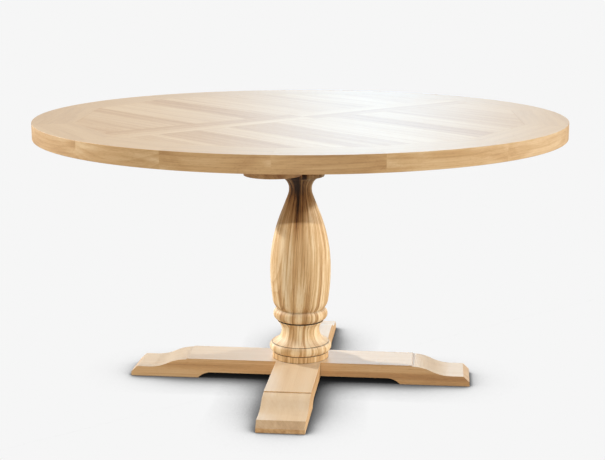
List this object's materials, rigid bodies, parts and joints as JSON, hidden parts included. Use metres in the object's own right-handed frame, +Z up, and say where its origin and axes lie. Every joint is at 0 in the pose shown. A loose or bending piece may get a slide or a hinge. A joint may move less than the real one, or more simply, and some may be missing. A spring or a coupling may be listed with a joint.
{
  "type": "round pedestal table",
  "caption": "Round dining table: parquet top in a ring of mitred boards, on a turned vase column with a lapped cross base.",
  "frame": {"origin": "on the floor, under the axis of the column", "axes": "+Z up; the base beams and the bearers lie along X and Y"},
  "size_m": [1.5, 1.5, 0.767],
  "materials": {
    "border_wood": "satin lacquer",
    "slat_light": "satin lacquer",
    "slat_medium": "satin lacquer",
    "slat_dark": "satin lacquer",
    "core_wood": "raw, matt",
    "bearer_wood": "matt oil",
    "column_wood": "satin lacquer",
    "base_wood": "satin lacquer",
    "dowel_wood": "raw, fluted",
    "screw_steel": "zinc plated",
    "rod_steel": "zinc plated"
  },
  "bodies": {
    "root": {"base_beam_x": "base_wood", "base_beam_y": "base_wood", "base_screws": "screw_steel", "bearer_screws": "screw_steel", "bearer_x": "bearer_wood", "bearer_y": "bearer_wood", "border_board_01": "border_wood", "border_board_02": "border_wood", "border_board_03": "border_wood", "border_board_04": "border_wood", "border_board_05": "border_wood", "border_board_06": "border_wood", "border_board_07": "border_wood", "border_board_08": "border_wood", "border_board_09": "border_wood", "border_board_10": "border_wood", "border_board_11": "border_wood", "border_board_12": "border_wood", "border_board_13": "border_wood", "column_dowels": "dowel_wood", "column_foot": "column_wood", "column_head": "column_wood", "column_ring": "column_wood", "column_shaft": "column_wood", "core_panel": "core_wood", "rod_nuts": "rod_steel", "rod_washers": "rod_steel", "slat_left_01": "slat_dark", "slat_left_02": "slat_medium", "slat_left_03": "slat_light", "slat_left_04": "slat_dark", "slat_left_05": "slat_light", "slat_left_06": "slat_light", "slat_left_07": "slat_dark", "slat_left_08": "slat_light", "slat_left_09": "slat_light", "slat_left_10": "slat_medium", "slat_left_11": "slat_medium", "slat_left_12": "slat_light", "slat_left_13": "slat_medium", "slat_right_01": "slat_medium", "slat_right_02": "slat_light", "slat_right_03": "slat_dark", "slat_right_04": "slat_dark", "slat_right_05": "slat_light", "slat_right_06": "slat_medium", "slat_right_07": "slat_dark", "slat_right_08": "slat_light", "slat_right_09": "slat_light", "slat_right_10": "slat_dark", "slat_right_11": "slat_light", "slat_right_12": "slat_medium", "slat_right_13": "slat_medium", "slat_right_14": "slat_light", "spine_board_1": "slat_dark", "spine_board_2": "slat_light", "spine_board_3": "slat_light", "spine_board_4": "slat_dark", "tie_rod": "rod_steel", "top_dowels": "dowel_wood"}
  },
  "joints": []
}
